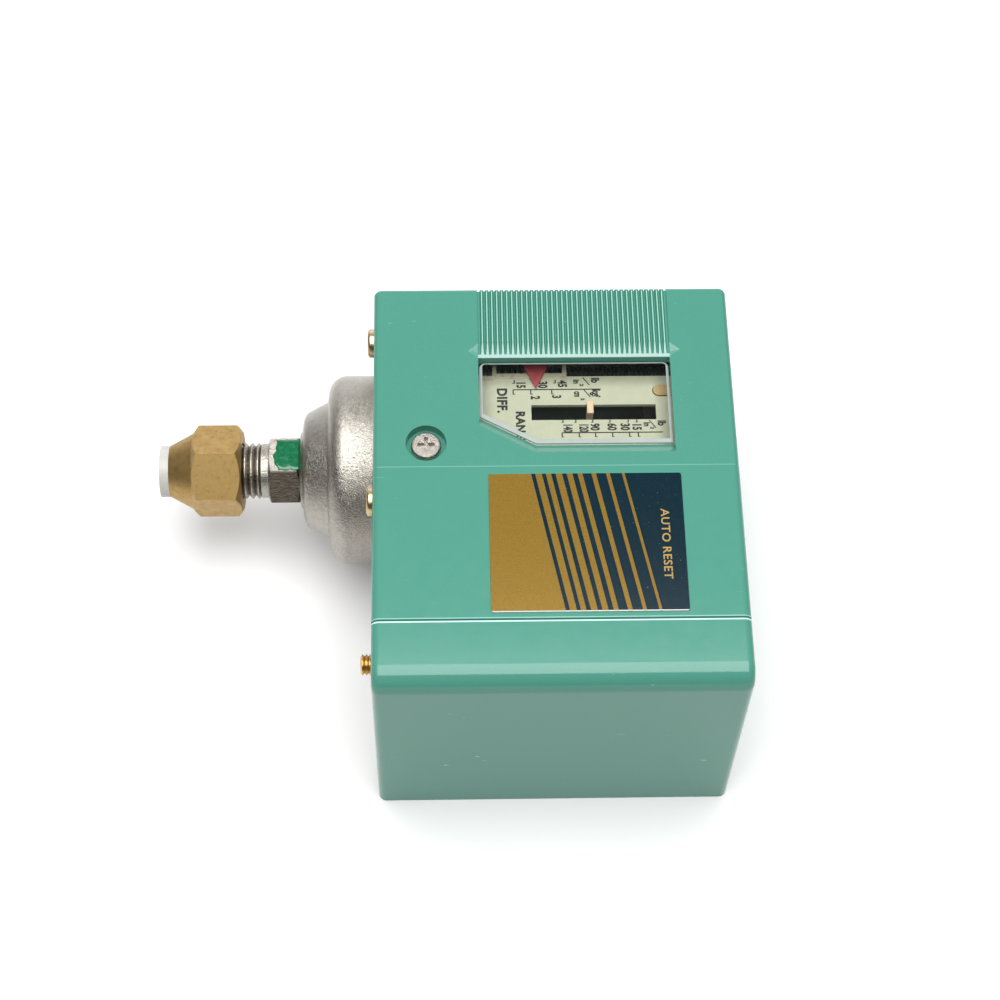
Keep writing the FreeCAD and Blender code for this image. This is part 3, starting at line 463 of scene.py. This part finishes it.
def label_material():
    low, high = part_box("label_plate")
    look = Look("label_foil", (0.002, 0.016, 0.026), 0.14)
    x, y, z = look.position()
    across = look.math("DIVIDE", look.math("SUBTRACT", high[1] / MM, y), (high[1] - low[1]) / MM)
    run = look.math("SUBTRACT", look.math("SUBTRACT", x, low[0] / MM),
                    look.math("MULTIPLY", across, SLANT))
    gold = look.math("LESS_THAN", run, GOLD_FIELD)
    for start, width in STRIPES:
        after = look.math("GREATER_THAN", run, start)
        before = look.math("LESS_THAN", run, start + width)
        gold = look.math("MAXIMUM", gold, look.math("MULTIPLY", after, before))
    grain = look.noise(3.4, 6.0, roughness=0.8)
    pale = look.ramp(look.noise(5.2, 3.0, roughness=0.8), 0.44, 0.60)
    look.tint(look.ramp(grain, 0.58, 0.68, 0.0, 0.7), (0.016, 0.060, 0.070))
    look.tint(gold, (0.29, 0.178, 0.029))
    sparkle = look.math("MULTIPLY", gold, pale)
    look.tint(look.math("MULTIPLY", sparkle, 0.9), (0.185, 0.108, 0.016))
    glint = look.ramp(look.noise(2.6, 2.0), 0.74, 0.76)
    look.tint(glint, (0.20, 0.22, 0.13))
    # bare aluminium on the label's cut sides, and a painted highlight along the near edge of its top
    cut_edge_and_highlight = look.math("MAXIMUM", look.math("LESS_THAN", z, high[2] / MM - 0.05),
                         look.math("LESS_THAN", y, low[1] / MM + 0.20))
    look.tint(cut_edge_and_highlight, (0.58, 0.60, 0.58))
    look.links.new(look.ramp(gold, 0.0, 1.0, 0.0, 0.25), look.shader.inputs["Metallic"])
    look.rough(grain, 0.3, 0.7, 0.11, 0.17)
    look.shader.inputs["Specular IOR Level"].default_value = 0.30
    look.relief(grain, 0.008, 0.8)
    return look.material


# ---- mesh helpers -------------------------------------------------------------------
def mesh_piece(name, bm, material):
    """Make a finished bmesh into a piece with one material."""
    mesh = bpy.data.meshes.new(name)
    bm.to_mesh(mesh)
    bm.free()
    obj = bpy.data.objects.new(name, mesh)
    SCENE.collection.objects.link(obj)
    mesh.materials.append(material)
    return obj


def riding_piece(name, build, material, body):
    """A piece that rides on a body; build fills its empty bmesh."""
    bm = bmesh.new()
    build(bm)
    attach(mesh_piece(name, bm, material), body)


def join_rings(bm, rings):
    """Add the faces between neighbouring rings of vertices."""
    around = len(rings[0])
    for ring, next_ring in zip(rings, rings[1:]):
        for j in range(around):
            k = (j + 1) % around
            bm.faces.new((ring[j], ring[k], next_ring[k], next_ring[j]))


def smooth_outward(bm):
    """Turn every face outward and shade it smooth."""
    bmesh.ops.recalc_face_normals(bm, faces=bm.faces)
    for face in bm.faces:
        face.smooth = True


def add_bar(bm, x0, x1, y0, y1, z0, z1):
    """A small box with corners given in millimetres."""
    made = bmesh.ops.create_cube(bm, size=1.0)["verts"]
    for vert in made:
        vert.co.x = (x0 if vert.co.x < 0 else x1) * MM
        vert.co.y = (y0 if vert.co.y < 0 else y1) * MM
        vert.co.z = (z0 if vert.co.z < 0 else z1) * MM
    return made


def add_text(bm, words, x, y, z, size, stretch=1.0, spacing=1.0, weight=0.022):
    """Lettering that reads towards -Y with its top towards +X, starting at x, y."""
    curve = bpy.data.curves.new("lettering", "FONT")
    curve.body = words
    curve.size = size
    curve.space_character = spacing
    curve.extrude = 0.012
    curve.offset = weight * size
    curve.resolution_u = 3
    text = bpy.data.objects.new("lettering", curve)
    SCENE.collection.objects.link(text)
    bpy.context.view_layer.update()
    mesh = bpy.data.meshes.new_from_object(text)
    turn = Matrix.Rotation(-math.pi / 2, 4, "Z")
    place = Matrix.Translation(Vector((x, y, z)) * MM) @ turn @ Matrix.Diagonal(
        (stretch * MM, MM, MM, 1.0))
    mesh.transform(place)
    bm.from_mesh(mesh)
    bpy.data.objects.remove(text)
    bpy.data.curves.remove(curve)
    bpy.data.meshes.remove(mesh)


SHARP_DEG = 32.0


def finish_edges(obj, width_mm):
    """Join the CAD surface's seams and round its sharp edges a little."""
    mesh = obj.data
    if "custom_normal" in mesh.attributes:
        mesh.attributes.remove(mesh.attributes["custom_normal"])
    mesh.polygons.foreach_set("use_smooth", [True] * len(mesh.polygons))
    weld = obj.modifiers.new("weld", "WELD")
    weld.merge_threshold = 0.0005 * MM
    bevel = obj.modifiers.new("edge", "BEVEL")
    bevel.width = width_mm * MM
    bevel.segments = 2
    bevel.limit_method = "ANGLE"
    bevel.angle_limit = math.radians(SHARP_DEG)
    bevel.harden_normals = True
    bevel.use_clamp_overlap = True


# ---- dial ---------------------------------------------------------------------------
# Places are x along the scales and y across them, in the frame's millimetres.
INK_LIFT = 0.02
LINE = 0.24                              # the width of a printed line
RANGE_LINE_Y = 13.18
DIFF_LINE_Y = 22.86
RANGE_NUMBERS = ((1.95, "140"), (4.39, "120"), (7.61, "90"), (10.90, "60"), (14.38, "30"),
                 (16.03, "15"))                      # tick along X, number
RANGE_NUMBER_AT = (2.05, 5.10, 7.20, 10.45, 12.95, 15.20)
RANGE_LOW_TICKS = (1.70, 4.94, 8.04, 11.29, 14.50, 16.17)
DIFF_LOW_TICKS = (-7.38, -4.00, 0.02)
DIFF_HIGH_TICKS = (-7.12, -3.2, 0.74)
DIFF_NUMBERS = (("15", -6.65, 24.85), ("30", -2.45, 24.85), ("45", 1.30, 24.98),
                ("2", -3.95, 21.55), ("3", 0.12, 21.72))      # number, x, y
NUMBER_SIZE = 2.35
# a unit's lower word: size, width factor and where the power of two stands after it
UNIT_WORDS = {"in": (1.70, 0.78, -1.02), "cm": (1.85, 0.56, -1.52)}


def dial_print(bm):
    """Two scales with ticks, numbers and the words beside them."""
    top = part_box("dial_plate")[1][2] / MM
    z = top + INK_LIFT
    low = top - 0.01

    def bar(x0, x1, y0, y1):
        add_bar(bm, x0, x1, y0, y1, low, z)

    def number(words, x, y):
        width = 0.54 if len(words) > 2 else 0.66
        add_text(bm, words, x, y, z, NUMBER_SIZE, width, weight=0.040)

    def fraction(x, y, upper, lower, rise=3.45):
        """A unit written as one word over another, with a slanted stroke between."""
        upper_width = 0.66 if len(upper) > 2 else 0.78
        lower_size, lower_width, power_y = UNIT_WORDS[lower]
        add_text(bm, upper, x + rise, y + 0.38, z, 2.1, upper_width, weight=0.038)
        add_text(bm, lower, x, y, z, lower_size, lower_width, weight=0.042)
        add_text(bm, "2", x + 1.20, y + power_y, z, 0.95, 1.1, weight=0.05)
        stroke = add_bar(bm, -0.10, 0.10, -1.05, 1.05, low, z)
        lean = Matrix.Translation(Vector((x + rise - 1.05, y - 0.42, 0)) * MM)
        bmesh.ops.transform(bm, matrix=lean @ Matrix.Rotation(math.radians(36), 4, "Z"),
                            verts=stroke)

    def hooked_ticks(ticks, low_y, high_y, hook, hook_y):
        """Ticks along Y from low_y to high_y, each with a small hook along X at low_y."""
        for tick in ticks:
            bar(tick - LINE / 2, tick + LINE / 2, low_y, high_y)
            bar(tick + min(hook, 0.0), tick + max(hook, 0.0), low_y, hook_y)

    hooked_ticks([tick for tick, words in RANGE_NUMBERS], 15.50, 16.12, -0.35, 15.62)
    for (tick, words), x in zip(RANGE_NUMBERS, RANGE_NUMBER_AT):
        number(words, x, 15.30)
    bar(1.70, 20.9, RANGE_LINE_Y, RANGE_LINE_Y + LINE)
    hooked_ticks(RANGE_LOW_TICKS, 12.30, 13.2, 0.40, 12.44)
    fraction(17.36, 15.50, "lb", "in", 2.70)

    bar(-7.42, 9.45, DIFF_LINE_Y, DIFF_LINE_Y + LINE)
    hooked_ticks(DIFF_LOW_TICKS, 21.90, 22.9, 0.42, 22.04)
    hooked_ticks(DIFF_HIGH_TICKS, 24.35, 25.15, -0.40, 24.50)
    for words, x, y in DIFF_NUMBERS:
        number(words, x, y)
    fraction(4.27, 25.19, "lb", "in")
    fraction(4.36, 22.50, "kgf", "cm")
    add_text(bm, "DIFF.", -10.40, 23.35, z, 2.60, 0.92, 1.08, weight=0.042)
    add_text(bm, "RANGE", -6.90, 18.15, z, 2.35, 0.96, 1.06, weight=0.042)


# ---- springs and bellows ------------------------------------------------------------
SEAT_END = 0.22                          # share of the range spring made as its own piece at the seat end
# piece, CAD node, wire radius, open turns, first and last share, bodies at its two ends
SPRINGS = (
    ("range_spring_seat_end", "range_spring", 0.8, 6.0, 0.0, SEAT_END, ("lever", "housing")),
    ("range_spring_coil", "range_spring", 0.8, 6.0, SEAT_END, 1.0, ("housing", "range_nut")),
    ("diff_spring_coil", "diff_spring", 0.4, 7.0, 0.0, 1.0, ("housing", "diff_nut")),
    ("plunger_spring_coil", "plunger_spring", 0.3, 6.0, 0.0, 1.0, ("plunger", "housing")),
)


def coil(name, node, wire_mm, turns, material, first, last):
    """A real helix that fills a CAD spring's space, with closed, flattened end turns.

    first and last are the shares of its wire where this piece of it starts and ends.
    Returns the piece and the two points on the spring's axis at its ends.
    """
    low, high = [Vector(c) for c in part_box(node)]
    centre = (low + high) / 2
    wire = wire_mm * MM
    radius = (high.y - low.y) / 2 - wire
    start = low.x + wire
    length = high.x - low.x - 2 * wire
    steps_per_turn = 36
    dead = 0.9                                       # turns closed up at each end
    total = turns + 2 * dead
    around = 10
    bm = bmesh.new()
    rings = []
    along = []
    count = int(total * steps_per_turn)
    for i in range(round(count * first), round(count * last) + 1):
        turn = total * i / count
        if turn < dead:
            part = 2 * wire * turn / dead * 0.5
        elif turn > total - dead:
            part = length - 2 * wire * (total - turn) / dead * 0.5
        else:
            part = wire + (length - 2 * wire) * (turn - dead) / turns
        along.append(start + part)
        a = 2 * math.pi * turn
        out = Vector((0.0, math.cos(a), math.sin(a)))
        middle = Vector((start + part, centre.y, centre.z)) + radius * out
        ring = []
        for j in range(around):
            b = 2 * math.pi * j / around
            ring.append(bm.verts.new(middle + wire * (math.cos(b) * out
                                                      + math.sin(b) * Vector((1, 0, 0)))))
        rings.append(ring)
    join_rings(bm, rings)
    bm.faces.new(rings[0])
    bm.faces.new(list(reversed(rings[-1])))
    smooth_outward(bm)
    obj = mesh_piece(name, bm, material)
    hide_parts(node)
    far = high.x if last == 1.0 else along[-1]
    return obj, Vector((along[0], centre.y, centre.z)), Vector((far, centre.y, centre.z))


BELLOWS_FOLDS = 9
BELLOWS_FOLD_DEEP = 2.6
BELLOWS_SKIN = 0.35


def corrugated(material):
    """Thin bellows with round folds, in place of the CAD bellows."""
    low, high = [Vector(c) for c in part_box("bellows")]
    centre = (low + high) / 2
    outer = (high.y - low.y) / 2
    inner = outer - BELLOWS_FOLD_DEEP * MM
    folds = BELLOWS_FOLDS
    around = 72
    along = 12 * folds
    bm = bmesh.new()
    rings = []
    for skin in (0.0, -BELLOWS_SKIN * MM):
        side = []
        for i in range(along + 1):
            t = i / along
            wave = 0.5 - 0.5 * math.cos(2 * math.pi * folds * t)
            radius = inner + (outer - inner) * wave ** 0.8 + skin
            x = low.x + (high.x - low.x) * t
            side.append([bm.verts.new((x, centre.y + radius * math.cos(2 * math.pi * j / around),
                                       centre.z + radius * math.sin(2 * math.pi * j / around)))
                         for j in range(around)])
        rings.append(side)
    for side in rings:
        join_rings(bm, side)
    for end in (0, -1):
        for j in range(around):
            k = (j + 1) % around
            bm.faces.new((rings[0][end][j], rings[0][end][k], rings[1][end][k], rings[1][end][j]))
    smooth_outward(bm)
    obj = mesh_piece("bellows_folds", bm, material)
    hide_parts("bellows")
    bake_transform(obj)


# ---- small painted marks ------------------------------------------------------------
LACQUER_X = (-54.0, -49.13)
LACQUER_REACH = (-3.55, 3.35)            # in y, from the fitting's axis
LACQUER_MM = 0.13                        # its thickness


def lacquer_patch(bm):
    """Brushed-on lacquer over one face of the hexagon, with an uneven edge."""
    axis_y, axis_z = FITTING_AXIS
    face_z = axis_z + HEX_ACROSS / 2
    x0, x1 = LACQUER_X
    y0, y1 = [axis_y + reach for reach in LACQUER_REACH]
    columns, rows = 22, 18
    grid = []
    for i in range(columns + 1):
        line = []
        for j in range(rows + 1):
            u, v = i / columns, j / rows
            wobble = 0.28 * math.sin(9.0 * v + 1.0) + 0.16 * math.sin(23.0 * v)
            left = x0 + wobble + 0.5 * (2 * v - 1) ** 4
            near = y0 + 0.10 * math.sin(14.0 * u) + 0.05 * math.sin(37.0 * u)
            edge = min(u, 1 - u, v, 1 - v)
            lift = LACQUER_MM * min(1.0, edge * 9.0) ** 0.5
            lift += 0.02 * math.sin(11 * u + 5 * v) * min(1.0, edge * 6.0)
            line.append(bm.verts.new(Vector((left + (x1 - left) * u, near + (y1 - near) * v,
                                             face_z + lift)) * MM))
        grid.append(line)
    for i in range(columns):
        for j in range(rows):
            bm.faces.new((grid[i][j], grid[i + 1][j], grid[i + 1][j + 1], grid[i][j + 1]))
    made = bmesh.ops.extrude_face_region(bm, geom=bm.faces[:])
    for item in made["geom"]:
        if isinstance(item, bmesh.types.BMVert):
            item.co.z = (face_z - 0.02) * MM
    smooth_outward(bm)


# ---- lettering on the label ---------------------------------------------------------
WORDS_SIZE = 2.18
WORDS_FROM_CORNER = (4.15, 7.6)          # in from the label's far right corner, x and y


def label_words(bm):
    """The two words printed on the label's teal end."""
    x, y, z = [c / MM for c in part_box("label_plate")[1]]
    add_text(bm, "AUTO RESET", x - WORDS_FROM_CORNER[0], y - WORDS_FROM_CORNER[1], z + 0.005,
             WORDS_SIZE, 1.08, 1.08, weight=0.012)


# ---- assembly -----------------------------------------------------------------------
def dress_nodes(looks):
    """Give every CAD node its material, and all but the glossy flat ones a fine edge rounding."""
    fine = {"range_screw", "diff_screw", "cover_screw", "case_screws", "flare_fitting",
            "terminal_screws", "earth_screw", "dial_rivets", "braze_ring",
            "switch_mount_screws", "dial_rail", "diff_pointer", "range_pointer"}
    # Glossy flat faces: their own exact surface directions are kept.
    as_modelled = {"dial_plate", "window_lens", "label_plate", "front_cover", "rear_case"}
    slots = {s["node"]: s["material_slot"] for s in frame["record"]["subparts"]}
    for name, obj in NODES.items():
        obj.data.materials.clear()
        obj.data.materials.append(looks.get(name) or looks[slots[name]])
        if name not in as_modelled:
            finish_edges(obj, 0.05 if name in fine else 0.12)


PANE_FLANGE_TOP = 51.55                  # the pane's hidden flange ends at this z


def dress_lens_rim(material):
    """The pane's polished sides and bevel get an opaque silver grey, a painted reflection standing in
    for the light they bend away.
    """
    mesh = NODES["window_lens"].data
    mesh.materials.append(material)
    for face in mesh.polygons:
        if face.center.z > PANE_FLANGE_TOP * MM and abs(face.normal.z) < 0.9:
            face.material_index = 1


def make_looks():
    """Every material, by the name of its slot or, where a node differs, by the node."""
    steel = brushed("bright_steel", (0.56, 0.55, 0.53), 0.30)
    looks = {
        "cover_green": green_plastic("cover_plastic"),
        "case_green": green_plastic("case_plastic"),
        "clear_window": clear_plastic(),
        "label_print": label_material(),
        "zinc_sheet": brushed("zinc_sheet", (0.60, 0.60, 0.58), 0.38,
                              coating=(0.62, 0.58, 0.50)),
        "nickel_screw": nickel("nickel_screw", (0.50, 0.46, 0.41), 2.0),
        "yellow_zinc": brushed("yellow_zinc", (0.66, 0.52, 0.26), 0.30,
                               coating=(0.60, 0.44, 0.34)),
        "nickel_shell": nickel("nickel_shell"),
        "brass": brass("brass_small", (0.66, 0.45, 0.17), (0.22, 0.38), 0.35),
        "flare_nut": brass("brass_forged"),
        "bronze": brass("bronze", (0.58, 0.34, 0.16), (0.22, 0.36), 0.25),
        "rubber": painted("rubber", (0.018, 0.018, 0.018), 0.72, (0.035, 0.035, 0.035), 0.02),
        "dial_paint": painted("dial_paint", (0.56, 0.55, 0.42), 0.5, (0.50, 0.48, 0.35), 0.004),
        "flare_fitting": nickel("nickel_fitting", fitting=True),
        "dial_rail": painted("rail_plate", (0.66, 0.60, 0.46), 0.30, (0.30, 0.24, 0.15), 0.006, 0.3),
        "dial_lug": painted("lug_brass", (0.58, 0.40, 0.19), 0.34, (0.30, 0.17, 0.07), 0.03, 0.35),
        "pointer_cream": painted("pointer_cream", (0.82, 0.58, 0.40), 0.5, (0.7, 0.5, 0.4)),
        "pointer_red": painted("pointer_red", (0.40, 0.058, 0.070), 0.42, (0.32, 0.04, 0.05)),
        "black_steel": painted("black_oxide", (0.030, 0.029, 0.028), 0.34,
                               (0.10, 0.08, 0.06), 0.010, 0.85),
        "bright_steel": steel,
        "switch_black": painted("phenolic", (0.022, 0.021, 0.022), 0.40, (0.05, 0.045, 0.04)),
        "plunger_plastic": painted("acetal", (0.74, 0.72, 0.66), 0.45, (0.66, 0.62, 0.55)),
        "plug_plastic": painted("plug_polythene", (0.50, 0.50, 0.46), 0.40, (0.40, 0.39, 0.34)),
        "fibre": painted("fibre_sheet", (0.20, 0.18, 0.15), 0.75, (0.28, 0.25, 0.20), 0.02),
    }
    plug = looks["plug_plastic"].node_tree.nodes["Principled BSDF"]
    plug.inputs["Subsurface Weight"].default_value = 0.20
    plug.inputs["Subsurface Radius"].default_value = (1.0, 1.0, 1.0)
    plug.inputs["Subsurface Scale"].default_value = 1.2 * MM
    return looks


SCENE.view_settings.view_transform = "Standard"
add_camera()
add_world()
add_floor()
add_softbox()

looks = make_looks()
dress_nodes(looks)
# the pane's rim: an opaque silver grey as a painted reflection
dress_lens_rim(painted("lens_rim", (0.50, 0.53, 0.52), 0.18, (0.12, 0.13, 0.12), 0.02))
ink = painted("dial_ink", (0.012, 0.012, 0.012), 0.5, (0.03, 0.03, 0.03), 0.002)
riding_piece("dial_markings", dial_print, ink, "housing")

label_ink = painted("label_gold_ink", (0.36, 0.225, 0.04), 0.40, (0.27, 0.16, 0.03), 0.002)
riding_piece("label_words", label_words, label_ink, "cover")
riding_piece("hexagon_lacquer", lacquer_patch,
             lacquer("green_lacquer", (0.0005, 0.095, 0.036)), "housing")

for spring, node, wire, turns, first, last, bodies in SPRINGS:
    obj, start, end = coil(spring, node, wire, turns, looks["bright_steel"],
                           first, last)
    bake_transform(obj)
corrugated(looks["bronze"])
